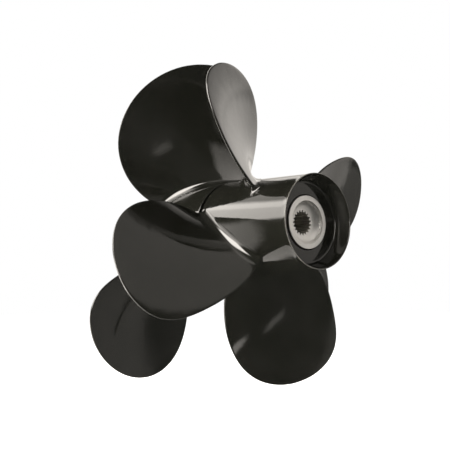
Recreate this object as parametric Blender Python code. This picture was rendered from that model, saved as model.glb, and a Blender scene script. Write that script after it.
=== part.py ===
"""Twin boat propellers that turn opposite ways on one shaft line.

Units are metres. The shaft line is the Y axis, +Z is up, and aft is -Y. The origin is the centre
of the shaft bore at the forward face of the front hub. Stations are measured along the shaft
line, forward from the aft rim of the rear hub.
"""

import bpy
import bmesh
from math import asin, atan2, cos, pi, radians, sin, sqrt
from mathutils import Vector

# Driving dimensions of the assembly
LENGTH = 0.2350            # aft rim of the rear hub to the forward face of the front hub
HUB_GAP = 0.0050           # running gap between the two hub barrels
SEAT_GAP = 0.0003          # gap between pieces that touch
ROUND_STEPS = 48           # flats round a turned surface
BORE_STEPS = 32            # flats round a small bore

# Rear hub: outside radius at stations from the aft rim forward
REAR_RIM_RADIUS = 0.0480
REAR_CONE_RADIUS = 0.0475   # radius that the barrel's cone runs to at the aft rim
REAR_FLARE = 0.0065   # length of the short flare at the rim
REAR_FORE_STATION = 0.1257
REAR_FORE_RADIUS = 0.0562
REAR_LIP = 0.0013          # width of the thin aft lip
REAR_CUP_DEPTH = 0.0174    # depth of the cup that the shaft nut sits in
REAR_CUP_FLOOR_RADIUS = 0.0422
REAR_FLOOR = 0.0070        # thickness of the cup's floor
REAR_WALL = 0.0055         # thickness of the barrel
REAR_TUBE_BORE = 0.0282    # inside radius of the tube that holds the rubber
REAR_TUBE_RADIUS = 0.0340
REAR_TUBE_FORE = 0.1080    # station of that tube's forward end

# Front hub
FRONT_AFT_STATION = REAR_FORE_STATION + HUB_GAP
FRONT_AFT_RADIUS = 0.0566
FRONT_FORE_RADIUS = 0.0600
FRONT_WALL = 0.0055
FRONT_TUBE_BORE = 0.0350
FRONT_TUBE_RADIUS = 0.0400
FRONT_TUBE_AFT = 0.1480
FRONT_TUBE_FORE = LENGTH - 0.0080
RIB_COUNT = 4
RIB_THICKNESS = 0.0070
RIB_SETBACK = 0.0060       # how far a rib stops short of its tube's end
RIB_SINK = 0.0015          # how far a rib runs into the metal that it joins
RIB_ANGLE = radians(45)
CORNER = 0.0015            # small slope in an inside corner

# Splined sleeves and the rubber round them
REAR_SLEEVE_AFT = REAR_CUP_DEPTH - 0.0017
REAR_FLANGE_RADIUS = 0.0274
REAR_FLANGE_THICKNESS = 0.0100   # thicker than the recess is deep
REAR_SLEEVE_RADIUS = 0.0175
REAR_DISH_MOUTH = 0.0221   # radius of the dished recess at the flange's face
REAR_DISH_DEPTH = 0.0079
REAR_DISH_STEPS = 2
REAR_SPLINE_MAJOR = 0.0130
REAR_SPLINE_MINOR = 0.0111
REAR_SPLINE_TEETH = 19
BORE_CHAMFER = 0.0014
FRONT_SLEEVE_RADIUS = 0.0245
FRONT_SLEEVE_AFT = 0.1352
FRONT_SPLINE_MAJOR = 0.0200
FRONT_SPLINE_MINOR = 0.0178
FRONT_SPLINE_TEETH = 23
FRONT_FLANGE_RADIUS = 0.0330
FRONT_FLANGE_THICKNESS = 0.0060
WASHER_BORE = 0.0140
WASHER_THICKNESS = 0.0040
RUBBER_INSET = 0.0020      # how far the rubber stops inside its tube

# Blades: lengths along a blade are polynomials in q, 0 at its root radius and 1 at its tip
BLADE_EDGE = 0.0022        # thickness at the rounded edge
ROOT_FILLET = 0.0080       # radius of the fillet where a blade meets its hub
LEADING_FILLET = 0.15      # share of the fillet that runs on past the leading edge
TRAILING_FILLET = 0.55     # the same at the trailing edge
BARREL_MARGIN = 0.0007     # how far a blade's root stops short of its barrel's open end
CHORD_SHARES = (0.0, 0.025, 0.10, 0.26, 0.48, 0.72, 1.0)   # from an edge to mid-chord
ROOT_SINK = 0.0025         # how deep a blade's root goes into the barrel's wall
LOW_ROWS = (-1.0, 0.0, 0.02, 0.055, 0.15, 0.30, 0.45)       # shares of the height of a blade
TIP_ROWS = 6
TIP_ROWS_FROM = 0.55

REAR_BLADES = {
    "count": 4,
    "hand": -1,             # right-hand propeller
    "tip_radius": 0.1829,
    "root_radius": 0.0471,
    "pitch": 0.4337,
    "pitch_growth": -0.0144,
    "root_station": 0.0884,
    "rake": 0.0637,
    "rake_curve": -0.0573,
    "first_angle": radians(-18.3),
    "skew": (0.0, -0.0074, -0.0261, 0.0338),
    "half_chord": (0.0425, 0.0905, -0.1245, 0.0699),
    "fullness": 5.69,
    "root_thickness": 0.0105,
    "tip_thickness": 0.0030,
    "aft_end": 0.0200,
    "fore_end": REAR_FORE_STATION - BARREL_MARGIN,
}
FRONT_BLADES = {
    "count": 3,
    "hand": 1,              # left-hand propeller
    "tip_radius": 0.2057,
    "root_radius": 0.0546,
    "pitch": 0.3952,
    "pitch_growth": 0.0913,
    "root_station": 0.1773,
    "rake": -0.0083,
    "rake_curve": 0.7916,
    "first_angle": radians(-13.4),
    "skew": (0.0, -0.0602, 0.0152, 0.0552),
    "half_chord": (0.0610, 0.0570, -0.0206, 0.0543),
    "fullness": 2.57,
    "root_thickness": 0.0120,
    "tip_thickness": 0.0032,
    "aft_end": FRONT_AFT_STATION + BARREL_MARGIN,
    "fore_end": LENGTH - BARREL_MARGIN,
}

# Colours and finishes: red, green, blue, roughness, metallic
FINISHES = {
    "gloss_black": (0.010, 0.010, 0.009, 0.12, 0.0),
    "bare_metal": (0.62, 0.60, 0.57, 0.35, 1.0),
    "rubber": (0.012, 0.012, 0.012, 0.75, 0.0),
    "steel": (0.48, 0.47, 0.45, 0.30, 1.0),
}


def clear_scene():
    for thing in list(bpy.data.objects):
        bpy.data.objects.remove(thing, do_unlink=True)


def finish_material(name):
    material = bpy.data.materials.get(name)
    if material:
        return material
    red, green, blue, roughness, metallic = FINISHES[name]
    material = bpy.data.materials.new(name)
    material.use_nodes = True
    shader = material.node_tree.nodes["Principled BSDF"]
    shader.inputs["Base Color"].default_value = (red, green, blue, 1.0)
    shader.inputs["Roughness"].default_value = roughness
    shader.inputs["Metallic"].default_value = metallic
    material.diffuse_color = (red, green, blue, 1.0)
    return material


def y_of(station):
    """Place along the shaft line of a station."""
    return station - LENGTH


def polynomial(terms, q):
    return sum(term * q ** power for power, term in enumerate(terms))


def rear_barrel_radius(station):
    cone = REAR_CONE_RADIUS + (REAR_FORE_RADIUS - REAR_CONE_RADIUS) * station / REAR_FORE_STATION
    if station >= REAR_FLARE:
        return cone
    return cone + (REAR_RIM_RADIUS - REAR_CONE_RADIUS) * (1 - station / REAR_FLARE) ** 2


def front_barrel_radius(station):
    share = (station - FRONT_AFT_STATION) / (LENGTH - FRONT_AFT_STATION)
    return FRONT_AFT_RADIUS + (FRONT_FORE_RADIUS - FRONT_AFT_RADIUS) * share


def mesh_object(name, bm, material_name):
    """Turn a bmesh into a named object with smooth shading."""
    bmesh.ops.recalc_face_normals(bm, faces=bm.faces)
    mesh = bpy.data.meshes.new(name)
    bm.to_mesh(mesh)
    bm.free()
    mesh.shade_smooth()
    mesh.set_sharp_from_angle(angle=radians(32))
    thing = bpy.data.objects.new(name, mesh)
    bpy.context.collection.objects.link(thing)
    mesh.materials.append(finish_material(material_name))
    return thing


def add_ring(bm, station, radii, angles):
    return [bm.verts.new((radius * sin(a), y_of(station), radius * cos(a))) for radius, a in zip(radii, angles)]


def bridge(bm, rings):
    """Skin a closed round of rings."""
    steps = len(rings[0])
    for here, after in zip(rings, rings[1:] + rings[:1]):
        for i in range(steps):
            j = (i + 1) % steps
            bm.faces.new((here[i], here[j], after[j], after[i]))


def turned(name, profile, material_name, steps=ROUND_STEPS):
    """Turn a closed outline of (station, radius) points about the shaft line."""
    bm = bmesh.new()
    angles = [2 * pi * i / steps for i in range(steps)]
    bridge(bm, [add_ring(bm, station, [radius] * steps, angles) for station, radius in profile])
    return mesh_object(name, bm, material_name)


def splined_sleeve(name, outline, spline_aft, spline_fore, teeth, minor, major, material_name):
    """Turned sleeve with a splined bore: the outline runs round the outside, aft to fore."""
    angles = []
    bore = []
    for tooth in range(teeth):
        for share, radius in ((0.0, major), (0.40, major), (0.50, minor), (0.90, minor)):
            angles.append(2 * pi * (tooth + share) / teeth)
            bore.append(radius)
    bm = bmesh.new()
    rings = [add_ring(bm, station, [radius] * len(angles), angles) for station, radius in outline]
    rings += [add_ring(bm, station, bore, angles) for station in (spline_fore, spline_aft)]
    bridge(bm, rings)
    return mesh_object(name, bm, material_name)


def blade_rows(fullness):
    """Shares along the blade, close together where the tip's outline curves."""
    first = asin(TIP_ROWS_FROM ** (fullness / 2))
    rows = list(LOW_ROWS)
    for i in range(TIP_ROWS):
        angle = first + (pi / 2 - first) * i / TIP_ROWS
        rows.append(sin(angle) ** (2 / fullness))
    return rows


def edge_height(depth):
    """Half thickness of the rounded edge at a depth in from the outline."""
    radius = BLADE_EDGE / 2
    if depth >= radius:
        return radius
    return sqrt(max(radius ** 2 - (radius - depth) ** 2, 0.0))


def fillet_reach(height):
    """How far a root fillet stands out at a height above the hub."""
    if height >= ROOT_FILLET:
        return 0.0
    drop = ROOT_FILLET - max(height, 0.0)
    return ROOT_FILLET - sqrt(ROOT_FILLET ** 2 - drop ** 2)


def blade_point(blades, index, rise_share, chord_share, face, hub_radius):
    """Point of a blade's surface; face is 1 on the aft side, -1 on the forward side, 0 on the edge.

    rise_share is 0 on the barrel and 1 at the tip, and below 0 the point lies in the barrel's wall.
    """
    root = blades["root_radius"]
    tip = blades["tip_radius"]
    root_twist = atan2(blades["pitch"], 2 * pi * root)
    root_reach = chord_share * blades["half_chord"][0] * sin(root_twist)
    barrel = hub_radius(blades["root_station"] - root_reach)
    height = (tip - barrel) * rise_share if rise_share >= 0.0 else -ROOT_SINK
    radius = barrel + height

    q = min(max((radius - root) / (tip - root), 0.0), 1.0)
    ends = sqrt(1.0 - q ** blades["fullness"])
    half = polynomial(blades["half_chord"], q) * ends
    pitch = blades["pitch"] * (1.0 + blades["pitch_growth"] * q)
    twist = atan2(pitch, 2 * pi * radius)
    rise = radius - root
    middle = polynomial(blades["skew"], q)
    fillet = fillet_reach(height)
    depth = (1.0 - abs(chord_share)) * half
    body = blades["root_thickness"] + (blades["tip_thickness"] - blades["root_thickness"]) * q
    swell = (body - BLADE_EDGE) / 2 * (1.0 - chord_share ** 2) ** 0.8
    across = face * (edge_height(min(depth, tip - radius)) + swell + fillet)
    reach = LEADING_FILLET if chord_share < 0.0 else TRAILING_FILLET
    along = middle + chord_share * (half + fillet * reach)

    angle = blades["first_angle"] + index * 2 * pi / blades["count"]
    angle += blades["hand"] * (along * cos(twist) - across * sin(twist)) / radius
    aft = blades["rake"] * rise + blades["rake_curve"] * rise ** 2
    aft += along * sin(twist) + across * cos(twist)
    station = blades["root_station"] - aft
    if height < ROOT_FILLET:
        station = min(max(station, blades["aft_end"]), blades["fore_end"])
    return Vector((radius * sin(angle), y_of(station), radius * cos(angle)))


def add_blade(bm, blades, index, hub_radius):
    """Closed blade: rings of points round its sections, joined from inside the hub to the tip."""
    shares = [-1.0 + share for share in CHORD_SHARES] + [1.0 - share for share in reversed(CHORD_SHARES[:-1])]
    rings = []
    for row in blade_rows(blades["fullness"]):
        ring = []
        for share in shares:
            face = 0 if abs(share) == 1.0 else 1
            ring.append(bm.verts.new(blade_point(blades, index, row, share, face, hub_radius)))
        for share in reversed(shares[1:-1]):
            ring.append(bm.verts.new(blade_point(blades, index, row, share, -1, hub_radius)))
        rings.append(ring)
    root = rings[0]
    for i in range(len(shares) - 1):
        strip = (root[i], root[i + 1], root[-i - 1], root[-i])
        bm.faces.new(list(dict.fromkeys(strip)))
    for here, after in zip(rings, rings[1:]):
        for i in range(len(here)):
            j = (i + 1) % len(here)
            bm.faces.new((here[i], here[j], after[j], after[i]))
    tip = bm.verts.new(blade_point(blades, index, 1.0, 0.0, 0, hub_radius))
    last = rings[-1]
    for i in range(len(last)):
        bm.faces.new((last[i], last[(i + 1) % len(last)], tip))


def blade_set(name, blades, hub_radius):
    """All the blades of one propeller as a helper that the barrel is joined to."""
    bm = bmesh.new()
    for index in range(blades["count"]):
        add_blade(bm, blades, index, hub_radius)
    bmesh.ops.triangulate(bm, faces=bm.faces)
    helper = mesh_object(name, bm, "gloss_black")
    return hide_helper(helper)


def rib_set(name, tube_radius, barrel_radius, wall, aft, fore):
    """Flat ribs between a hub's inner tube and its barrel, which they follow as it widens."""
    bm = bmesh.new()
    half = RIB_THICKNESS / 2
    inner = tube_radius - RIB_SINK
    for i in range(RIB_COUNT):
        angle = RIB_ANGLE + 2 * pi * i / RIB_COUNT
        out = Vector((sin(angle), 0.0, cos(angle)))
        side = Vector((cos(angle), 0.0, -sin(angle)))
        corners = []
        for station in (aft, fore):
            outer = barrel_radius(station) - wall + RIB_SINK
            along = Vector((0.0, y_of(station), 0.0))
            for radius, offset in ((inner, -half), (inner, half), (outer, half), (outer, -half)):
                corners.append(bm.verts.new(out * radius + side * offset + along))
        bm.faces.new(corners[:4])
        bm.faces.new(corners[4:])
        for k in range(4):
            bm.faces.new((corners[k], corners[(k + 1) % 4], corners[4 + (k + 1) % 4], corners[4 + k]))
    return hide_helper(mesh_object(name, bm, "gloss_black"))


def hide_helper(helper):
    helper.hide_render = True
    helper.display_type = "WIRE"
    return helper


def join(target, helper):
    step = target.modifiers.new(helper.name, "BOOLEAN")
    step.operation = "UNION"
    step.object = helper
    step.solver = "EXACT"


def outside_line(radius_at, aft, fore, steps):
    return [(aft + (fore - aft) * i / steps, radius_at(aft + (fore - aft) * i / steps)) for i in range(steps + 1)]


def rear_casting():
    """Rear barrel, four blades, cup, inner tube and ribs, cast in one."""
    floor_fore = REAR_CUP_DEPTH + REAR_FLOOR
    inside = rear_barrel_radius(floor_fore) - REAR_WALL
    profile = outside_line(rear_barrel_radius, 0.0, REAR_FLARE, 4)
    profile += [
        (REAR_FORE_STATION, REAR_FORE_RADIUS),
        (REAR_FORE_STATION, REAR_FORE_RADIUS - REAR_WALL),
        (floor_fore + CORNER, inside),
        (floor_fore, inside - CORNER),
        (floor_fore, REAR_TUBE_RADIUS),
        (REAR_TUBE_FORE, REAR_TUBE_RADIUS),
        (REAR_TUBE_FORE, REAR_TUBE_BORE),
        (REAR_CUP_DEPTH, REAR_TUBE_BORE),
        (REAR_CUP_DEPTH, REAR_CUP_FLOOR_RADIUS - CORNER),
        (REAR_CUP_DEPTH - CORNER, REAR_CUP_FLOOR_RADIUS),
        (0.0, REAR_RIM_RADIUS - REAR_LIP),
    ]
    casting = turned("rear_propeller_casting", profile, "gloss_black")
    ribs = rib_set("rear_ribs_helper", REAR_TUBE_RADIUS, rear_barrel_radius, REAR_WALL,
                   floor_fore - RIB_SINK, REAR_TUBE_FORE - RIB_SETBACK)
    join(casting, ribs)
    join(casting, blade_set("rear_blades_helper", REAR_BLADES, rear_barrel_radius))
    return casting


def front_casting():
    """Front barrel, three blades, inner tube and ribs, cast in one."""
    profile = [
        (FRONT_AFT_STATION, FRONT_AFT_RADIUS),
        (LENGTH, FRONT_FORE_RADIUS),
        (LENGTH, FRONT_FORE_RADIUS - FRONT_WALL),
        (FRONT_AFT_STATION, FRONT_AFT_RADIUS - FRONT_WALL),
    ]
    casting = turned("front_propeller_casting", profile, "gloss_black")
    tube = [
        (FRONT_TUBE_AFT, FRONT_TUBE_BORE),
        (FRONT_TUBE_AFT, FRONT_TUBE_RADIUS),
        (FRONT_TUBE_FORE, FRONT_TUBE_RADIUS),
        (FRONT_TUBE_FORE, FRONT_TUBE_BORE),
    ]
    ribs = rib_set("front_ribs_helper", FRONT_TUBE_RADIUS, front_barrel_radius, FRONT_WALL,
                   FRONT_TUBE_AFT + RIB_SETBACK, FRONT_TUBE_FORE - RIB_SETBACK)
    join(casting, ribs)
    join(casting, hide_helper(turned("front_tube_helper", tube, "gloss_black")))
    join(casting, blade_set("front_blades_helper", FRONT_BLADES, front_barrel_radius))
    return casting


def rubber(name, aft, fore, inner, outer):
    profile = [(aft, inner), (aft, outer), (fore, outer), (fore, inner)]
    return turned(name, profile, "rubber")


def rear_core():
    """Rubber and splined sleeve in the rear hub."""
    flange_fore = REAR_SLEEVE_AFT + REAR_FLANGE_THICKNESS
    rubber("rear_rubber_bush", flange_fore + SEAT_GAP, REAR_TUBE_FORE - RUBBER_INSET,
           REAR_SLEEVE_RADIUS + SEAT_GAP, REAR_TUBE_BORE - SEAT_GAP)
    sleeve_fore = FRONT_SLEEVE_AFT - WASHER_THICKNESS - 2 * SEAT_GAP
    mouth = REAR_SLEEVE_AFT + REAR_DISH_DEPTH
    outline = []
    for i in range(REAR_DISH_STEPS):
        turn = pi / 2 * (1 - i / REAR_DISH_STEPS)
        outline.append((REAR_SLEEVE_AFT + REAR_DISH_DEPTH * sin(turn),
                        REAR_DISH_MOUTH - (REAR_DISH_MOUTH - REAR_SPLINE_MAJOR) * (1 - cos(turn))))
    outline = outline[1:] + [
        (REAR_SLEEVE_AFT, REAR_DISH_MOUTH),
        (REAR_SLEEVE_AFT, REAR_FLANGE_RADIUS),
        (flange_fore, REAR_FLANGE_RADIUS),
        (flange_fore, REAR_SLEEVE_RADIUS),
        (sleeve_fore, REAR_SLEEVE_RADIUS),
        (sleeve_fore, REAR_SPLINE_MAJOR + BORE_CHAMFER),
    ]
    splined_sleeve("rear_splined_sleeve", outline, mouth, sleeve_fore - BORE_CHAMFER,
                   REAR_SPLINE_TEETH, REAR_SPLINE_MINOR, REAR_SPLINE_MAJOR, "bare_metal")


def front_core():
    """Rubber, splined sleeve and thrust washer in the front hub."""
    flange_aft = LENGTH - FRONT_FLANGE_THICKNESS
    rubber("front_rubber_bush", FRONT_TUBE_AFT + RUBBER_INSET, flange_aft - SEAT_GAP,
           FRONT_SLEEVE_RADIUS + SEAT_GAP, FRONT_TUBE_BORE - SEAT_GAP)
    outline = [
        (FRONT_SLEEVE_AFT, FRONT_SPLINE_MAJOR + BORE_CHAMFER),
        (FRONT_SLEEVE_AFT, FRONT_SLEEVE_RADIUS),
        (flange_aft, FRONT_SLEEVE_RADIUS),
        (flange_aft, FRONT_FLANGE_RADIUS),
        (LENGTH, FRONT_FLANGE_RADIUS),
        (LENGTH, FRONT_SPLINE_MAJOR + BORE_CHAMFER),
    ]
    splined_sleeve("front_splined_sleeve", outline, FRONT_SLEEVE_AFT + BORE_CHAMFER, LENGTH - BORE_CHAMFER,
                   FRONT_SPLINE_TEETH, FRONT_SPLINE_MINOR, FRONT_SPLINE_MAJOR, "bare_metal")
    washer_fore = FRONT_SLEEVE_AFT - SEAT_GAP
    washer_aft = washer_fore - WASHER_THICKNESS
    washer = [
        (washer_aft, WASHER_BORE),
        (washer_aft, FRONT_SLEEVE_RADIUS),
        (washer_fore, FRONT_SLEEVE_RADIUS),
        (washer_fore, WASHER_BORE),
    ]
    turned("thrust_washer", washer, "steel", BORE_STEPS)


def build():
    clear_scene()
    front_casting()
    front_core()
    rear_casting()
    rear_core()


build()
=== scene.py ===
from math import asin, atan2, cos, pi, radians, sin, sqrt, tan

import bpy
import bmesh
from mathutils import Matrix, Vector


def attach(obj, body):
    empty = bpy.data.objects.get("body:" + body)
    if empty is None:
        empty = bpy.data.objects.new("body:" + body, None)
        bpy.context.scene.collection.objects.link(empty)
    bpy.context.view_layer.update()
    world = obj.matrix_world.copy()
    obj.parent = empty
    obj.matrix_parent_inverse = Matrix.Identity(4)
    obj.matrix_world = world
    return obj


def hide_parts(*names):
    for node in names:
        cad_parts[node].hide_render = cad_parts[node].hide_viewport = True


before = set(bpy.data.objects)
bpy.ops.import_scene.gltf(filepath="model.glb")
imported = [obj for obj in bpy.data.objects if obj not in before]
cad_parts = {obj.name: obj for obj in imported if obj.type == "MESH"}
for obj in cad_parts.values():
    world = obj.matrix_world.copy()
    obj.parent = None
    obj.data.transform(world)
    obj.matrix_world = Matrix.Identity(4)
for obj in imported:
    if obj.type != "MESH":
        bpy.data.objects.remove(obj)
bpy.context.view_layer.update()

# Main sizes in metres. The shaft line is the Y axis, and a station is a distance forward of the
# aft rim of the rear hub.
LENGTH = 0.2350
HUB_GAP = 0.0050
SEAT_GAP = 0.0003
ROUND_STEPS = 160

REAR_RIM_RADIUS = 0.0480
REAR_CONE_RADIUS = 0.0475
REAR_FLARE = 0.0065
REAR_FORE_STATION = 0.1257
REAR_FORE_RADIUS = 0.0562
REAR_LIP = 0.0013
REAR_CUP_DEPTH = 0.0174
REAR_CUP_FLOOR_RADIUS = 0.0422
REAR_FLOOR = 0.0070
REAR_WALL = 0.0055
REAR_TUBE_BORE = 0.0282
REAR_TUBE_RADIUS = 0.0340
REAR_TUBE_FORE = 0.1080

FRONT_AFT_STATION = REAR_FORE_STATION + HUB_GAP
FRONT_AFT_RADIUS = 0.0566
FRONT_FORE_RADIUS = 0.0600
FRONT_WALL = 0.0055
FRONT_TUBE_BORE = 0.0350
FRONT_TUBE_RADIUS = 0.0400
FRONT_TUBE_AFT = 0.1480
FRONT_TUBE_FORE = LENGTH - 0.0080
RIB_COUNT = 4
RIB_THICKNESS = 0.0070
RIB_SETBACK = 0.0060
RIB_SINK = 0.0015
RIB_ANGLE = radians(45)

REAR_SLEEVE_AFT = REAR_CUP_DEPTH - 0.0017
REAR_FLANGE_RADIUS = 0.0274
REAR_FLANGE_THICKNESS = 0.0100
REAR_SLEEVE_RADIUS = 0.0175
REAR_DISH_MOUTH = 0.0221
REAR_DISH_DEPTH = 0.0079
REAR_SPLINE_MAJOR = 0.0130
REAR_SPLINE_MINOR = 0.0111
REAR_SPLINE_TEETH = 19
FRONT_SLEEVE_RADIUS = 0.0245
FRONT_SLEEVE_AFT = 0.1352
FRONT_SPLINE_MAJOR = 0.0200
FRONT_SPLINE_MINOR = 0.0178
FRONT_SPLINE_TEETH = 23
FRONT_FLANGE_RADIUS = 0.0330
FRONT_FLANGE_THICKNESS = 0.0060
BORE_CHAMFER = 0.0014
# How far a tooth is cut back at its ends, as a share of its height
TOOTH_LEAD = 0.12
WASHER_BORE = 0.0140
WASHER_THICKNESS = 0.0040
RUBBER_INSET = 0.0020

BLADE_EDGE = 0.0022
ROOT_FILLET = 0.0080
LEADING_FILLET = 0.15
TRAILING_FILLET = 0.55
BARREL_MARGIN = 0.0007
ROOT_SINK = 0.0025
# A half chord below this draws the rounded edge in with it
SLIM_HALF_CHORD = 0.0080
SWELL_POWER = 0.8

REAR_BLADES = {
    "count": 4,
    "hand": -1,
    "tip_radius": 0.1829,
    "root_radius": 0.0471,
    "pitch": 0.4337,
    "pitch_growth": -0.0144,
    "root_station": 0.0884,
    "rake": 0.0637,
    "rake_curve": -0.0573,
    "first_angle": radians(-18.3),
    "skew": (0.0, -0.0074, -0.0261, 0.0338),
    "half_chord": (0.0425, 0.0905, -0.1245, 0.0699),
    "fullness": 5.69,
    "root_thickness": 0.0105,
    "tip_thickness": 0.0030,
    "aft_end": 0.0200,
    "fore_end": REAR_FORE_STATION - BARREL_MARGIN,
}
FRONT_BLADES = {
    "count": 3,
    "hand": 1,
    "tip_radius": 0.2057,
    "root_radius": 0.0546,
    "pitch": 0.3952,
    "pitch_growth": 0.0913,
    "root_station": 0.1773,
    "rake": -0.0083,
    "rake_curve": 0.7916,
    "first_angle": radians(-13.4),
    "skew": (0.0, -0.0602, 0.0152, 0.0552),
    "half_chord": (0.0610, 0.0570, -0.0206, 0.0543),
    "fullness": 2.57,
    "root_thickness": 0.0120,
    "tip_thickness": 0.0032,
    "aft_end": FRONT_AFT_STATION + BARREL_MARGIN,
    "fore_end": LENGTH - BARREL_MARGIN,
}

# Rows and columns of points on a blade
FILLET_ROWS = 9
BODY_ROWS = 22
FIRST_ROW = 0.01
TIP_ROWS = 22
TIP_ROWS_FROM = 0.60
EDGE_DEPTHS = (0.0, 0.00004, 0.00015, 0.00035, 0.00060, 0.00090, 0.00150, 0.00260)
INNER_COLUMNS = 11
COLUMN_POWER = 1.3

# Steps of the turned outlines
ROUNDING_STEPS = 5
LIP_STEPS = 8
FLARE_STEPS = 12
REAR_CONE_STEPS = 40
FRONT_CONE_STEPS = 34
DISH_STEPS = 12
# Where the flare starts, in radii of the lip, and how far short of the fore rim the cone stops
FLARE_START = 1.4
CONE_STOP = 0.0020

# Close points beside a rounded corner, as a share of its rounding
CLOSE_POINT = 0.25
SHARP_ON_CASTINGS = radians(50)
SHARP_ON_SPLINES = radians(38)

# Where the paint is worn thin and a painted highlight is laid on: a share of the lip in from its aft face
# and from its outside
WORN_HIGHLIGHT_SHARE = 0.45
OUTSIDE_MARGIN = 0.0005

# The painted shade in the rear bore fades in between these radii, and between these depths behind the dish
BORE_SHADE_FROM_RADIUS = REAR_SPLINE_MAJOR + 0.0004
BORE_SHADE_FULL_RADIUS = REAR_SPLINE_MAJOR + 0.0001
BORE_SHADE_FROM_DEPTH = 0.0004
BORE_SHADE_FULL_DEPTH = 0.0020


# Profiles

def y_of(station):
    return station - LENGTH


def polynomial(terms, q):
    return sum(term * q ** power for power, term in enumerate(terms))


def rear_barrel_radius(station):
    cone = REAR_CONE_RADIUS + (REAR_FORE_RADIUS - REAR_CONE_RADIUS) * station / REAR_FORE_STATION
    if station >= REAR_FLARE:
        return cone
    return cone + (REAR_RIM_RADIUS - REAR_CONE_RADIUS) * (1 - station / REAR_FLARE) ** 2


def front_barrel_radius(station):
    share = (station - FRONT_AFT_STATION) / (LENGTH - FRONT_AFT_STATION)
    return FRONT_AFT_RADIUS + (FRONT_FORE_RADIUS - FRONT_AFT_RADIUS) * share


def rounded(corners):
    """Outline of (station, radius, rounding) corners, each an arc with a close point beyond its ends."""
    outline = []
    count = len(corners)
    for i, (station, radius, rounding) in enumerate(corners):
        here = Vector((station, radius))
        if rounding == 0.0:
            outline.append((station, radius))
            continue
        before = (Vector(corners[i - 1][:2]) - here).normalized()
        after = (Vector(corners[(i + 1) % count][:2]) - here).normalized()
        half = before.angle(after) / 2
        reach = rounding * cos(half) / sin(half)
        start = here + before * reach
        end = here + after * reach
        centre = here + (before + after).normalized() * (rounding / sin(half))
        outline.append(tuple(start + before * rounding * CLOSE_POINT))
        first = start - centre
        last = end - centre
        for k in range(ROUNDING_STEPS + 1):
            share = k / ROUNDING_STEPS
            outline.append(tuple(centre + first.slerp(last, share).normalized() * rounding))
        outline.append(tuple(end + after * rounding * CLOSE_POINT))
    return outline


# Meshes

def add_ring(bm, station, radii, angles):
    return [bm.verts.new((radius * sin(angle), y_of(station), radius * cos(angle)))
            for radius, angle in zip(radii, angles)]


def bridge(bm, rings, closed=True):
    steps = len(rings[0])
    following = rings[1:] + rings[:1] if closed else rings[1:]
    for here, after in zip(rings, following):
        for i in range(steps):
            j = (i + 1) % steps
            bm.faces.new((here[i], here[j], after[j], after[i]))


def mesh_object(name, bm):
    bmesh.ops.recalc_face_normals(bm, faces=bm.faces)
    mesh = bpy.data.meshes.new(name)
    bm.to_mesh(mesh)
    bm.free()
    mesh.shade_smooth()
    thing = bpy.data.objects.new(name, mesh)
    bpy.context.collection.objects.link(thing)
    return thing


def turned(name, profile):
    bm = bmesh.new()
    angles = [2 * pi * i / ROUND_STEPS for i in range(ROUND_STEPS)]
    bridge(bm, [add_ring(bm, station, [radius] * ROUND_STEPS, angles) for station, radius in profile])
    return mesh_object(name, bm)


def fillet_reach(height):
    if height >= ROOT_FILLET:
        return 0.0
    drop = ROOT_FILLET - max(height, 0.0)
    return ROOT_FILLET - sqrt(ROOT_FILLET ** 2 - drop ** 2)


def edge_height(depth):
    radius = BLADE_EDGE / 2
    if depth >= radius:
        return radius
    return sqrt(max(radius ** 2 - (radius - depth) ** 2, 0.0))


def root_heights():
    return [-ROOT_SINK] + [ROOT_FILLET * (1 - cos(pi / 2 * k / FILLET_ROWS)) for k in range(FILLET_ROWS)]


def blade_rows(fullness):
    """Shares of the blade's height above the fillet rows, close together at the tip."""
    rows = [FIRST_ROW + (TIP_ROWS_FROM - FIRST_ROW) * i / BODY_ROWS for i in range(BODY_ROWS)]
    first = asin(TIP_ROWS_FROM ** (fullness / 2))
    rows += [sin(first + (pi / 2 - first) * i / TIP_ROWS) ** (2 / fullness) for i in range(TIP_ROWS)]
    return rows


def blade_point(blades, index, row, side, column, face, hub_radius):
    """Point of a blade: row is (height, share of the height), column is (depth in, share to mid-chord)."""
    root = blades["root_radius"]
    tip = blades["tip_radius"]
    root_twist = atan2(blades["pitch"], 2 * pi * root)
    coarse = blades["half_chord"][0]
    chord_share = side * (1.0 - column[0] / coarse - column[1] * (1.0 - column[0] / coarse))
    barrel = hub_radius(blades["root_station"] - chord_share * coarse * sin(root_twist))
    above = tip - barrel - ROOT_FILLET
    height = row[0] + row[1] * above
    radius = barrel + height

    q = min(max((radius - root) / (tip - root), 0.0), 1.0)
    ends = sqrt(1.0 - q ** blades["fullness"])
    half = polynomial(blades["half_chord"], q) * ends
    pitch = blades["pitch"] * (1.0 + blades["pitch_growth"] * q)
    twist = atan2(pitch, 2 * pi * radius)
    rise = radius - root
    middle = polynomial(blades["skew"], q)
    fillet = fillet_reach(height)

    shrink = min(1.0, half / SLIM_HALF_CHORD)
    depth = column[0] * shrink
    depth += (half - depth) * column[1]
    chord_share = side * (1.0 - depth / half) if half > 0 else 0.0
    body = blades["root_thickness"] + (blades["tip_thickness"] - blades["root_thickness"]) * q
    swell = (body - BLADE_EDGE) / 2 * (1.0 - chord_share ** 2) ** SWELL_POWER
    across = face * (edge_height(min(depth, tip - radius)) + swell + fillet)
    reach = LEADING_FILLET if chord_share < 0.0 else TRAILING_FILLET
    along = middle + chord_share * (half + fillet * reach)

    angle = blades["first_angle"] + index * 2 * pi / blades["count"]
    angle += blades["hand"] * (along * cos(twist) - across * sin(twist)) / radius
    aft = blades["rake"] * rise + blades["rake_curve"] * rise ** 2
    aft += along * sin(twist) + across * cos(twist)
    station = blades["root_station"] - aft
    if height < ROOT_FILLET:
        station = min(max(station, blades["aft_end"]), blades["fore_end"])
    return Vector((radius * sin(angle), y_of(station), radius * cos(angle)))


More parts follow.
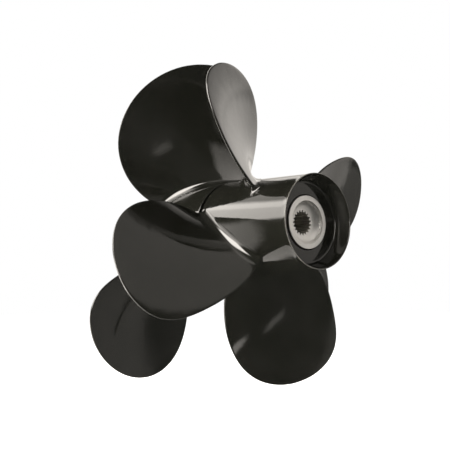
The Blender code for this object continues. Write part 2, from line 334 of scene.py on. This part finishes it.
def columns():
    """Depths in from an edge, then shares on to mid-chord."""
    inner = [(EDGE_DEPTHS[-1], (i / INNER_COLUMNS) ** COLUMN_POWER) for i in range(1, INNER_COLUMNS + 1)]
    return [(depth, 0.0) for depth in EDGE_DEPTHS] + inner


def add_blade(bm, blades, index, hub_radius):
    half = columns()
    stops = [(-1, column) for column in half] + [(1, column) for column in reversed(half[:-1])]
    rows = [(height, 0.0) for height in root_heights()]
    rows += [(ROOT_FILLET, share) for share in blade_rows(blades["fullness"])]
    rings = []
    for row in rows:
        ring = []
        for side, column in stops:
            face = 0 if column[0] == 0.0 else 1
            ring.append(bm.verts.new(blade_point(blades, index, row, side, column, face, hub_radius)))
        for side, column in reversed(stops[1:-1]):
            ring.append(bm.verts.new(blade_point(blades, index, row, side, column, -1, hub_radius)))
        rings.append(ring)
    root = rings[0]
    for i in range(len(stops) - 1):
        strip = (root[i], root[i + 1], root[-i - 1], root[-i])
        bm.faces.new(list(dict.fromkeys(strip)))
    bridge(bm, rings, closed=False)
    tip = bm.verts.new(blade_point(blades, index, (ROOT_FILLET, 1.0), -1, half[-1], 0, hub_radius))
    last = rings[-1]
    for i in range(len(last)):
        bm.faces.new((last[i], last[(i + 1) % len(last)], tip))


def blade_set(name, blades, hub_radius):
    bm = bmesh.new()
    for index in range(blades["count"]):
        add_blade(bm, blades, index, hub_radius)
    return mesh_object(name, bm)


def rib_set(name, tube_radius, barrel_radius, wall, aft, fore):
    bm = bmesh.new()
    half = RIB_THICKNESS / 2
    inner = tube_radius - RIB_SINK
    for i in range(RIB_COUNT):
        angle = RIB_ANGLE + 2 * pi * i / RIB_COUNT
        out = Vector((sin(angle), 0.0, cos(angle)))
        side = Vector((cos(angle), 0.0, -sin(angle)))
        corners = []
        for station in (aft, fore):
            outer = barrel_radius(station) - wall + RIB_SINK
            along = Vector((0.0, y_of(station), 0.0))
            for radius, offset in ((inner, -half), (inner, half), (outer, half), (outer, -half)):
                corners.append(bm.verts.new(out * radius + side * offset + along))
        bm.faces.new(corners[:4])
        bm.faces.new(corners[4:])
        for k in range(4):
            bm.faces.new((corners[k], corners[(k + 1) % 4], corners[4 + (k + 1) % 4], corners[4 + k]))
    return mesh_object(name, bm)


def fuse(target, helpers):
    """Join helpers to the target with exact unions, apply them and delete the helpers."""
    for helper in helpers:
        step = target.modifiers.new("join", "BOOLEAN")
        step.operation = "UNION"
        step.object = helper
        step.solver = "EXACT"
    bpy.context.view_layer.update()
    shown = target.evaluated_get(bpy.context.evaluated_depsgraph_get())
    mesh = bpy.data.meshes.new_from_object(shown)
    target.modifiers.clear()
    target.data = mesh
    for helper in helpers:
        bpy.data.objects.remove(helper, do_unlink=True)
    mesh.shade_smooth()
    mesh.set_sharp_from_angle(angle=SHARP_ON_CASTINGS)


def line(radius_at, aft, fore, steps):
    stations = [aft + (fore - aft) * i / steps for i in range(steps + 1)]
    return [(station, radius_at(station)) for station in stations]


# Pieces

def rear_casting():
    floor_fore = REAR_CUP_DEPTH + REAR_FLOOR
    inside = rear_barrel_radius(floor_fore) - REAR_WALL
    lip = REAR_LIP / 2
    aft_lip = []
    for k in range(LIP_STEPS + 1):
        turn = pi * (1 - k / LIP_STEPS)
        aft_lip.append((lip * (1 - sin(turn)), REAR_RIM_RADIUS - lip + lip * cos(turn)))
    outer = line(rear_barrel_radius, lip * FLARE_START, REAR_FLARE, FLARE_STEPS)
    outer += line(rear_barrel_radius, REAR_FLARE, REAR_FORE_STATION - CONE_STOP, REAR_CONE_STEPS)[1:]
    # The last corner only gives the cup's wall its direction, and the lip takes its place
    rest = rounded([
        (REAR_FORE_STATION, REAR_FORE_RADIUS, 0.0010),
        (REAR_FORE_STATION, REAR_FORE_RADIUS - REAR_WALL, 0.0008),
        (floor_fore, inside, 0.0030),
        (floor_fore, REAR_TUBE_RADIUS, 0.0030),
        (REAR_TUBE_FORE, REAR_TUBE_RADIUS, 0.0008),
        (REAR_TUBE_FORE, REAR_TUBE_BORE, 0.0006),
        (REAR_CUP_DEPTH, REAR_TUBE_BORE, 0.0005),
        (REAR_CUP_DEPTH, REAR_CUP_FLOOR_RADIUS, 0.0022),
        (0.0, REAR_RIM_RADIUS - REAR_LIP, 0.0),
    ])[:-1]
    casting = turned("rear_propeller", aft_lip + outer + rest)
    ribs = rib_set("rear_ribs", REAR_TUBE_RADIUS, rear_barrel_radius, REAR_WALL,
                   floor_fore - RIB_SINK, REAR_TUBE_FORE - RIB_SETBACK)
    blades = blade_set("rear_blades", REAR_BLADES, rear_barrel_radius)
    fuse(casting, [ribs, blades])
    return casting


def front_casting():
    corners = [
        (FRONT_AFT_STATION, FRONT_AFT_RADIUS, 0.0010),
        (LENGTH, FRONT_FORE_RADIUS, 0.0012),
        (LENGTH, FRONT_FORE_RADIUS - FRONT_WALL, 0.0010),
        (FRONT_AFT_STATION, FRONT_AFT_RADIUS - FRONT_WALL, 0.0008),
    ]
    outline = rounded(corners)
    steps = [after[0] - here[0] for here, after in zip(outline, outline[1:])]
    split = steps.index(max(steps)) + 1
    span = line(front_barrel_radius, outline[split - 1][0], outline[split][0], FRONT_CONE_STEPS)[1:-1]
    casting = turned("front_propeller", outline[:split] + span + outline[split:])
    tube = turned("front_tube", rounded([
        (FRONT_TUBE_AFT, FRONT_TUBE_BORE, 0.0006),
        (FRONT_TUBE_AFT, FRONT_TUBE_RADIUS, 0.0010),
        (FRONT_TUBE_FORE, FRONT_TUBE_RADIUS, 0.0010),
        (FRONT_TUBE_FORE, FRONT_TUBE_BORE, 0.0006),
    ]))
    ribs = rib_set("front_ribs", FRONT_TUBE_RADIUS, front_barrel_radius, FRONT_WALL,
                   FRONT_TUBE_AFT + RIB_SETBACK, FRONT_TUBE_FORE - RIB_SETBACK)
    blades = blade_set("front_blades", FRONT_BLADES, front_barrel_radius)
    fuse(casting, [ribs, tube, blades])
    return casting


def splined_sleeve(name, outline, spline_aft, spline_fore, teeth, minor, major):
    """Sleeve with a splined bore; each tooth has sloping flanks and is cut back at its ends."""
    shape = ((0.0, 0.0), (0.30, 0.0), (0.36, 0.04), (0.40, 0.18), (0.45, 0.50), (0.50, 0.82), (0.54, 0.96),
             (0.60, 1.0), (0.84, 1.0), (0.90, 0.96), (0.94, 0.82), (0.97, 0.50))
    angles = []
    shares = []
    for tooth in range(teeth):
        for turn, share in shape:
            angles.append(2 * pi * (tooth + turn) / teeth)
            shares.append(share)
    bm = bmesh.new()
    count = len(angles)
    rings = [add_ring(bm, station, [radius] * count, angles) for station, radius in outline]
    bore = [major + (minor - major) * share for share in shares]
    plain = [major] * count
    lead = (major - minor) * TOOTH_LEAD
    rings.append(add_ring(bm, spline_fore, plain, angles))
    rings.append(add_ring(bm, spline_fore - lead, bore, angles))
    rings.append(add_ring(bm, spline_aft + lead, bore, angles))
    rings.append(add_ring(bm, spline_aft, plain, angles))
    bridge(bm, rings)
    sleeve = mesh_object(name, bm)
    sleeve.data.set_sharp_from_angle(angle=SHARP_ON_SPLINES)
    return sleeve


def rear_sleeve():
    flange_fore = REAR_SLEEVE_AFT + REAR_FLANGE_THICKNESS
    fore = FRONT_SLEEVE_AFT - WASHER_THICKNESS - 2 * SEAT_GAP
    dish = []
    for i in range(1, DISH_STEPS):
        turn = pi / 2 * (1 - i / DISH_STEPS)
        dish.append((REAR_SLEEVE_AFT + REAR_DISH_DEPTH * sin(turn),
                     REAR_DISH_MOUTH - (REAR_DISH_MOUTH - REAR_SPLINE_MAJOR) * (1 - cos(turn))))
    rest = rounded([
        (REAR_SLEEVE_AFT, REAR_DISH_MOUTH, 0.0),
        (REAR_SLEEVE_AFT, REAR_FLANGE_RADIUS, 0.0006),
        (flange_fore, REAR_FLANGE_RADIUS, 0.0005),
        (flange_fore, REAR_SLEEVE_RADIUS, 0.0004),
        (fore, REAR_SLEEVE_RADIUS, 0.0006),
        (fore, REAR_SPLINE_MAJOR + BORE_CHAMFER, 0.0),
    ])
    return splined_sleeve("rear_sleeve", dish + rest,
                          REAR_SLEEVE_AFT + REAR_DISH_DEPTH, fore - BORE_CHAMFER,
                          REAR_SPLINE_TEETH, REAR_SPLINE_MINOR, REAR_SPLINE_MAJOR)


def front_sleeve():
    flange_aft = LENGTH - FRONT_FLANGE_THICKNESS
    outline = rounded([
        (FRONT_SLEEVE_AFT, FRONT_SPLINE_MAJOR + BORE_CHAMFER, 0.0),
        (FRONT_SLEEVE_AFT, FRONT_SLEEVE_RADIUS, 0.0006),
        (flange_aft, FRONT_SLEEVE_RADIUS, 0.0006),
        (flange_aft, FRONT_FLANGE_RADIUS, 0.0006),
        (LENGTH, FRONT_FLANGE_RADIUS, 0.0010),
        (LENGTH, FRONT_SPLINE_MAJOR + BORE_CHAMFER, 0.0),
    ])
    return splined_sleeve("front_sleeve", outline, FRONT_SLEEVE_AFT + BORE_CHAMFER, LENGTH - BORE_CHAMFER,
                          FRONT_SPLINE_TEETH, FRONT_SPLINE_MINOR, FRONT_SPLINE_MAJOR)


def ring_piece(name, aft, fore, inner, outer, rounding):
    return turned(name, rounded([
        (aft, inner, rounding),
        (aft, outer, rounding),
        (fore, outer, rounding),
        (fore, inner, rounding),
    ]))


# Materials

def new_group(name, inputs, outputs):
    group = bpy.data.node_groups.new(name, "ShaderNodeTree")
    for label, kind, value in inputs:
        socket = group.interface.new_socket(label, in_out="INPUT", socket_type=kind)
        socket.default_value = value
    for label, kind in outputs:
        group.interface.new_socket(label, in_out="OUTPUT", socket_type=kind)
    return group, group.nodes.new("NodeGroupInput"), group.nodes.new("NodeGroupOutput")


def orange_peel_group():
    """Height of the faint waves that sprayed gloss paint dries with."""
    group, given, out = new_group(
        "orange_peel",
        [("Scale", "NodeSocketFloat", 260.0), ("Waviness", "NodeSocketFloat", 0.5)],
        [("Height", "NodeSocketFloat")])
    place = group.nodes.new("ShaderNodeTexCoord")
    fine = group.nodes.new("ShaderNodeTexNoise")
    broad = group.nodes.new("ShaderNodeTexNoise")
    broad.inputs["Scale"].default_value = 85.0
    broad.inputs["Detail"].default_value = 1.0
    fine.inputs["Detail"].default_value = 1.5
    mix = group.nodes.new("ShaderNodeMix")
    group.links.new(place.outputs["Object"], fine.inputs["Vector"])
    group.links.new(place.outputs["Object"], broad.inputs["Vector"])
    group.links.new(given.outputs["Scale"], fine.inputs["Scale"])
    group.links.new(given.outputs["Waviness"], mix.inputs["Factor"])
    group.links.new(fine.outputs["Fac"], mix.inputs["A"])
    group.links.new(broad.outputs["Fac"], mix.inputs["B"])
    group.links.new(mix.outputs["Result"], out.inputs["Height"])
    return group


def handling_group():
    """Mask of faint smudges and dulled patches, 0 clean to 1 dulled."""
    group, given, out = new_group(
        "handling",
        [("Scale", "NodeSocketFloat", 30.0),
         ("Low", "NodeSocketFloat", 0.0), ("High", "NodeSocketFloat", 1.0)],
        [("Value", "NodeSocketFloat"), ("Mask", "NodeSocketFloat")])
    place = group.nodes.new("ShaderNodeTexCoord")
    noise = group.nodes.new("ShaderNodeTexNoise")
    noise.inputs["Detail"].default_value = 5.0
    noise.inputs["Distortion"].default_value = 0.6
    patches = group.nodes.new("ShaderNodeMapRange")
    patches.inputs["From Min"].default_value = 0.42
    patches.inputs["From Max"].default_value = 0.72
    spread = group.nodes.new("ShaderNodeMapRange")
    group.links.new(place.outputs["Object"], noise.inputs["Vector"])
    group.links.new(given.outputs["Scale"], noise.inputs["Scale"])
    group.links.new(noise.outputs["Fac"], patches.inputs["Value"])
    group.links.new(patches.outputs["Result"], spread.inputs["Value"])
    group.links.new(given.outputs["Low"], spread.inputs["To Min"])
    group.links.new(given.outputs["High"], spread.inputs["To Max"])
    group.links.new(spread.outputs["Result"], out.inputs["Value"])
    group.links.new(patches.outputs["Result"], out.inputs["Mask"])
    return group


def lathe_marks_group():
    """Fine turning lines round the shaft line, from the distance off it and along it."""
    group, given, out = new_group(
        "lathe_marks",
        [("Lines per metre", "NodeSocketFloat", 4000.0)],
        [("Height", "NodeSocketFloat"), ("Radius", "NodeSocketFloat"), ("Along", "NodeSocketFloat")])
    place = group.nodes.new("ShaderNodeTexCoord")
    apart = group.nodes.new("ShaderNodeSeparateXYZ")
    square_x = group.nodes.new("ShaderNodeMath")
    square_z = group.nodes.new("ShaderNodeMath")
    total = group.nodes.new("ShaderNodeMath")
    root = group.nodes.new("ShaderNodeMath")
    reach = group.nodes.new("ShaderNodeMath")
    scale = group.nodes.new("ShaderNodeMath")
    noise = group.nodes.new("ShaderNodeTexNoise")
    for node, operation in ((square_x, "MULTIPLY"), (square_z, "MULTIPLY"), (total, "ADD"), (root, "SQRT"),
                            (reach, "ADD"), (scale, "MULTIPLY")):
        node.operation = operation
    noise.noise_dimensions = "1D"
    noise.inputs["Scale"].default_value = 1.0
    noise.inputs["Detail"].default_value = 2.0
    links = group.links
    links.new(place.outputs["Object"], apart.inputs["Vector"])
    for node, axis in ((square_x, "X"), (square_z, "Z")):
        links.new(apart.outputs[axis], node.inputs[0])
        links.new(apart.outputs[axis], node.inputs[1])
    links.new(square_x.outputs[0], total.inputs[0])
    links.new(square_z.outputs[0], total.inputs[1])
    links.new(total.outputs[0], root.inputs[0])
    links.new(root.outputs[0], reach.inputs[0])
    links.new(apart.outputs["Y"], reach.inputs[1])
    links.new(reach.outputs[0], scale.inputs[0])
    links.new(given.outputs["Lines per metre"], scale.inputs[1])
    links.new(scale.outputs[0], noise.inputs["W"])
    links.new(noise.outputs["Fac"], out.inputs["Height"])
    links.new(root.outputs[0], out.inputs["Radius"])
    links.new(apart.outputs["Y"], out.inputs["Along"])
    return group


def material(name, colour, roughness, metallic):
    made = bpy.data.materials.new(name)
    made.use_nodes = True
    shader = made.node_tree.nodes["Principled BSDF"]
    shader.inputs["Base Color"].default_value = (*colour, 1.0)
    shader.inputs["Roughness"].default_value = roughness
    shader.inputs["Metallic"].default_value = metallic
    return made, made.node_tree.nodes, made.node_tree.links, shader


def place_group(nodes, group, **values):
    node = nodes.new("ShaderNodeGroup")
    node.node_tree = group
    for label, value in values.items():
        node.inputs[label.replace("_", " ")].default_value = value
    return node


def add_bump(nodes, links, shader, height, strength, distance):
    bump = nodes.new("ShaderNodeBump")
    bump.inputs["Strength"].default_value = strength
    bump.inputs["Distance"].default_value = distance
    links.new(height, bump.inputs["Height"])
    links.new(bump.outputs["Normal"], shader.inputs["Normal"])


def tint(nodes, links, shader, mask, low, high):
    """Base colour that runs from one tone to another with a mask."""
    mix = nodes.new("ShaderNodeMix")
    mix.data_type = "RGBA"
    mix.inputs["A"].default_value = (*low, 1.0)
    mix.inputs["B"].default_value = (*high, 1.0)
    links.new(mask, mix.inputs["Factor"])
    links.new(mix.outputs["Result"], shader.inputs["Base Color"])


def ramp(nodes, links, value, low, high):
    """A soft step from 0 to 1 as a value runs from low to high."""
    step = nodes.new("ShaderNodeMapRange")
    step.interpolation_type = "SMOOTHSTEP"
    step.inputs["From Min"].default_value = low
    step.inputs["From Max"].default_value = high
    links.new(value, step.inputs["Value"])
    return step


def add_paint_waves(nodes, links, shader, peel):
    waves = place_group(nodes, peel, Scale=200.0, Waviness=0.94)
    add_bump(nodes, links, shader, waves.outputs["Height"], 0.14, 0.0006)


def gloss_black(peel, handling):
    made, nodes, links, shader = material("gloss_black_paint", (0.0056, 0.0058, 0.0046), 0.07, 0.0)
    shader.inputs["IOR"].default_value = 1.52
    add_paint_waves(nodes, links, shader, peel)
    smudge = place_group(nodes, handling, Scale=22.0, Low=0.055, High=0.12)
    links.new(smudge.outputs["Value"], shader.inputs["Roughness"])
    tint(nodes, links, shader, smudge.outputs["Mask"], (0.0052, 0.0054, 0.0042), (0.0078, 0.0078, 0.0066))
    return made


def worn_paint_and_highlight(peel, handling):
    """The same paint worn thin and grey by handling; its lighter grey is also a painted highlight along
    the lip.
    """
    # Lighter than the gloss black: partly worn paint, partly a painted highlight line on the lip
    made, nodes, links, shader = material("worn_black_paint_with_painted_highlight", (0.060, 0.058, 0.053), 0.30, 0.0)
    add_paint_waves(nodes, links, shader, peel)
    smudge = place_group(nodes, handling, Scale=160.0, Low=0.28, High=0.45)
    links.new(smudge.outputs["Value"], shader.inputs["Roughness"])
    tint(nodes, links, shader, smudge.outputs["Mask"], (0.075, 0.073, 0.066), (0.035, 0.034, 0.031))
    return made


def bare_metal(marks, handling):
    """Turned metal, a little darker deeper in the rear bore, where shade is painted into its colour."""
    made, nodes, links, shader = material("machined_metal", (0.90, 0.89, 0.87), 0.42, 1.0)
    lines = place_group(nodes, marks, Lines_per_metre=5200.0)
    add_bump(nodes, links, shader, lines.outputs["Height"], 0.15, 0.00004)
    smudge = place_group(nodes, handling, Scale=90.0, Low=0.46, High=0.56)
    links.new(smudge.outputs["Value"], shader.inputs["Roughness"])
    mouth = y_of(REAR_SLEEVE_AFT + REAR_DISH_DEPTH)
    inside = ramp(nodes, links, lines.outputs["Radius"], BORE_SHADE_FROM_RADIUS, BORE_SHADE_FULL_RADIUS)
    deep = ramp(nodes, links, lines.outputs["Along"], mouth + BORE_SHADE_FROM_DEPTH, mouth + BORE_SHADE_FULL_DEPTH)
    # Painted shade: the base colour darkens inside the rear bore and deeper behind the dish
    bore_shade = nodes.new("ShaderNodeMath")
    bore_shade.operation = "MULTIPLY"
    links.new(inside.outputs["Result"], bore_shade.inputs[0])
    links.new(deep.outputs["Result"], bore_shade.inputs[1])
    tint(nodes, links, shader, bore_shade.outputs[0], (0.93, 0.92, 0.90), (0.80, 0.78, 0.74))
    return made


def black_rubber(peel, handling):
    made, nodes, links, shader = material("black_rubber", (0.014, 0.014, 0.014), 0.72, 0.0)
    grain = place_group(nodes, peel, Scale=1400.0, Waviness=0.2)
    add_bump(nodes, links, shader, grain.outputs["Height"], 0.35, 0.0003)
    smudge = place_group(nodes, handling, Scale=60.0, Low=0.62, High=0.82)
    links.new(smudge.outputs["Value"], shader.inputs["Roughness"])
    tint(nodes, links, shader, smudge.outputs["Mask"], (0.012, 0.012, 0.012), (0.024, 0.023, 0.022))
    return made


def wear_and_highlight_lip(casting, made):
    """Give the outer corner of the aft lip its worn paint, whose lighter grey is partly a painted
    highlight.
    """
    casting.data.materials.append(made)
    worn_and_highlit_width = REAR_LIP * WORN_HIGHLIGHT_SHARE
    for face in casting.data.polygons:
        radius = sqrt(face.center.x ** 2 + face.center.z ** 2)
        on_corner = REAR_RIM_RADIUS - worn_and_highlit_width < radius < REAR_RIM_RADIUS + OUTSIDE_MARGIN
        if on_corner and face.center.y < y_of(worn_and_highlit_width):
            face.material_index = 1


# Studio

PHOTO_WIDTH = 450
CAMERA_AZIMUTH = radians(-38.139)
CAMERA_ELEVATION = radians(-5.5325)
CAMERA_DISTANCE = 0.5035
CAMERA_RIGHT = -0.09355
CAMERA_UP = -0.00414
FOCAL_PIXELS = 510.2
SENSOR = 36.0
MIDDLE = Vector((0.0, -0.12, 0.0))
LIGHT_TINT = (1.0, 0.945, 0.88)
FLOOR_HEIGHT = -0.55
FLOOR_REACH = 6.0


def direction_to(azimuth, elevation):
    """Unit vector at an azimuth round from aft and an elevation above the shaft line."""
    return Vector((sin(azimuth) * cos(elevation), -cos(azimuth) * cos(elevation), sin(elevation)))


def add_camera():
    back = direction_to(CAMERA_AZIMUTH, CAMERA_ELEVATION)
    right = Vector((cos(CAMERA_AZIMUTH), sin(CAMERA_AZIMUTH), 0.0))
    up = back.cross(right)
    place = right * CAMERA_RIGHT + up * CAMERA_UP + back * CAMERA_DISTANCE + Vector((0.0, -LENGTH, 0.0))
    data = bpy.data.cameras.new("camera")
    data.sensor_width = SENSOR
    data.lens = FOCAL_PIXELS * SENSOR / PHOTO_WIDTH
    camera = bpy.data.objects.new("camera", data)
    camera.matrix_world = Matrix.Translation(place) @ Matrix((right, up, back)).transposed().to_4x4()
    bpy.context.collection.objects.link(camera)
    bpy.context.scene.camera = camera


def add_floor():
    bm = bmesh.new()
    signs = ((-1, -1), (1, -1), (1, 1), (-1, 1))
    bm.faces.new([bm.verts.new((x * FLOOR_REACH, y * FLOOR_REACH, FLOOR_HEIGHT)) for x, y in signs])
    floor = mesh_object("floor", bm)
    made, _, _, shader = material("pale_floor", (0.9, 0.9, 0.9), 0.8, 0.0)
    shader.inputs["Emission Color"].default_value = (1.0, 1.0, 1.0, 1.0)
    shader.inputs["Emission Strength"].default_value = 1.0
    floor.data.materials.append(made)
    floor.visible_glossy = False


def soft_edge(light, edges):
    """Fade the light toward the edges of its panel, by a share of its width and of its height."""
    light.use_nodes = True
    nodes = light.node_tree.nodes
    links = light.node_tree.links
    place = nodes.new("ShaderNodeTexCoord")
    apart = nodes.new("ShaderNodeSeparateXYZ")
    links.new(place.outputs["UV"], apart.inputs["Vector"])
    fade = nodes["Emission"].inputs["Strength"]
    both = nodes.new("ShaderNodeMath")
    both.operation = "MULTIPLY"
    for k, (axis, edge) in enumerate(zip("XY", edges)):
        off = nodes.new("ShaderNodeMath")
        off.operation = "SUBTRACT"
        off.inputs[1].default_value = 0.5
        away = nodes.new("ShaderNodeMath")
        away.operation = "ABSOLUTE"
        links.new(apart.outputs[axis], off.inputs[0])
        links.new(off.outputs[0], away.inputs[0])
        step = ramp(nodes, links, away.outputs[0], 0.5, 0.5 - edge)
        links.new(step.outputs["Result"], both.inputs[k])
    links.new(both.outputs[0], fade)


def add_softbox(name, azimuth, elevation, wide, high, radiance, distance=2.5, edges=(0.15, 0.15)):
    """Panel seen from the propellers at an azimuth and elevation, wide by high degrees across."""
    direction = direction_to(radians(azimuth), radians(elevation))
    data = bpy.data.lights.new(name, "AREA")
    data.shape = "RECTANGLE"
    data.size = 2 * distance * tan(radians(wide) / 2)
    data.size_y = 2 * distance * tan(radians(high) / 2)
    data.energy = radiance * pi * data.size * data.size_y
    data.color = LIGHT_TINT
    soft_edge(data, edges)
    lamp = bpy.data.objects.new(name, data)
    lamp.location = MIDDLE + direction * distance
    lamp.rotation_mode = "QUATERNION"
    lamp.rotation_quaternion = (-direction).to_track_quat("-Z", "Y")
    lamp.visible_camera = False
    bpy.context.collection.objects.link(lamp)


def add_world():
    world = bpy.data.worlds.new("studio")
    world.use_nodes = True
    nodes = world.node_tree.nodes
    links = world.node_tree.links
    paper = nodes["Background"]
    paper.inputs["Color"].default_value = (1.0, 1.0, 1.0, 1.0)
    paper.inputs["Strength"].default_value = 1.0
    room = nodes.new("ShaderNodeBackground")
    room.inputs["Color"].default_value = (0.075, 0.074, 0.068, 1.0)
    room.inputs["Strength"].default_value = 1.0
    path = nodes.new("ShaderNodeLightPath")
    mix = nodes.new("ShaderNodeMixShader")
    links.new(path.outputs["Is Camera Ray"], mix.inputs["Fac"])
    links.new(room.outputs["Background"], mix.inputs[1])
    links.new(paper.outputs["Background"], mix.inputs[2])
    links.new(mix.outputs["Shader"], nodes["World Output"].inputs["Surface"])
    bpy.context.scene.world = world


def add_studio():
    add_camera()
    add_world()
    add_floor()
    add_softbox("key", -135, 22, 60, 38, 7.0, edges=(0.2, 0.2))
    add_softbox("key_top", -157, 41, 72, 26, 2.2, edges=(0.12, 0.12))
    add_softbox("side", -86, 22, 38, 58, 20.0, edges=(0.22, 0.22))
    add_softbox("side_top", -42, 53, 34, 44, 0.8, edges=(0.15, 0.25))
    add_softbox("right_wall", 56, 19, 64, 44, 0.65, edges=(0.06, 0.08))
    add_softbox("right_foot", 82, -6.5, 20, 14, 0.82, edges=(0.1, 0.08))
    add_softbox("right_low", 47, -19, 64, 32, 0.36, edges=(0.13, 0.1))
    add_softbox("overhead", 8, 50, 47, 48, 0.7, edges=(0.05, 0.1))
    add_softbox("far_right", 110, 24, 44, 44, 0.97, edges=(0.21, 0.07))
    add_softbox("far_right_top", 102.5, 38, 55, 42, 1.27, edges=(0.45, 0.45))
    add_softbox("backdrop", 152, 18, 48, 50, 0.9, edges=(0.085, 0.08))
    add_softbox("backdrop_high", 150, 38, 40, 11, 0.9, edges=(0.1, 0.1))
    add_softbox("backdrop_low", 155, -22, 70, 36, 0.8, distance=1.2, edges=(0.1, 0.1))
    add_softbox("left_foot", -155, -14, 46, 34, 5.0, edges=(0.25, 0.25))
    add_softbox("low_left", -155, -47, 90, 34, 1.9, distance=0.57)
    add_softbox("under_camera", -20, -19, 6, 15, 1.0, edges=(0.4, 0.35))
    add_softbox("by_camera", -20.5, -2.5, 5, 7, 3.0, edges=(0.3, 0.3))
    bpy.context.scene.view_settings.view_transform = "Standard"


def finish_piece(piece, made, body, node):
    piece.data.materials.clear()
    piece.data.materials.append(made)
    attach(piece, body)
    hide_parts(node)


def build():
    peel = orange_peel_group()
    handling = handling_group()
    marks = lathe_marks_group()
    paint = gloss_black(peel, handling)
    metal = bare_metal(marks, handling)
    rubber = black_rubber(peel, handling)

    flange_fore = REAR_SLEEVE_AFT + REAR_FLANGE_THICKNESS
    washer_fore = FRONT_SLEEVE_AFT - SEAT_GAP
    rear_bush = ring_piece("rear_bush", flange_fore + SEAT_GAP, REAR_TUBE_FORE - RUBBER_INSET,
                           REAR_SLEEVE_RADIUS + SEAT_GAP, REAR_TUBE_BORE - SEAT_GAP, 0.0008)
    front_bush = ring_piece("front_bush", FRONT_TUBE_AFT + RUBBER_INSET,
                            LENGTH - FRONT_FLANGE_THICKNESS - SEAT_GAP,
                            FRONT_SLEEVE_RADIUS + SEAT_GAP, FRONT_TUBE_BORE - SEAT_GAP, 0.0008)
    washer = ring_piece("washer", washer_fore - WASHER_THICKNESS, washer_fore,
                        WASHER_BORE, FRONT_SLEEVE_RADIUS, 0.0005)
    rear = rear_casting()
    finish_piece(rear, paint, "rear_propeller", "rear_propeller_casting")
    # The lip's lighter grey is partly worn paint, partly a painted highlight
    wear_and_highlight_lip(rear, worn_paint_and_highlight(peel, handling))
    finish_piece(rear_bush, rubber, "rear_propeller", "rear_rubber_bush")
    finish_piece(rear_sleeve(), metal, "rear_propeller", "rear_splined_sleeve")
    finish_piece(front_casting(), paint, "front_propeller", "front_propeller_casting")
    finish_piece(front_bush, rubber, "front_propeller", "front_rubber_bush")
    finish_piece(front_sleeve(), metal, "front_propeller", "front_splined_sleeve")
    finish_piece(washer, metal, "front_propeller", "thrust_washer")


build()
add_studio()
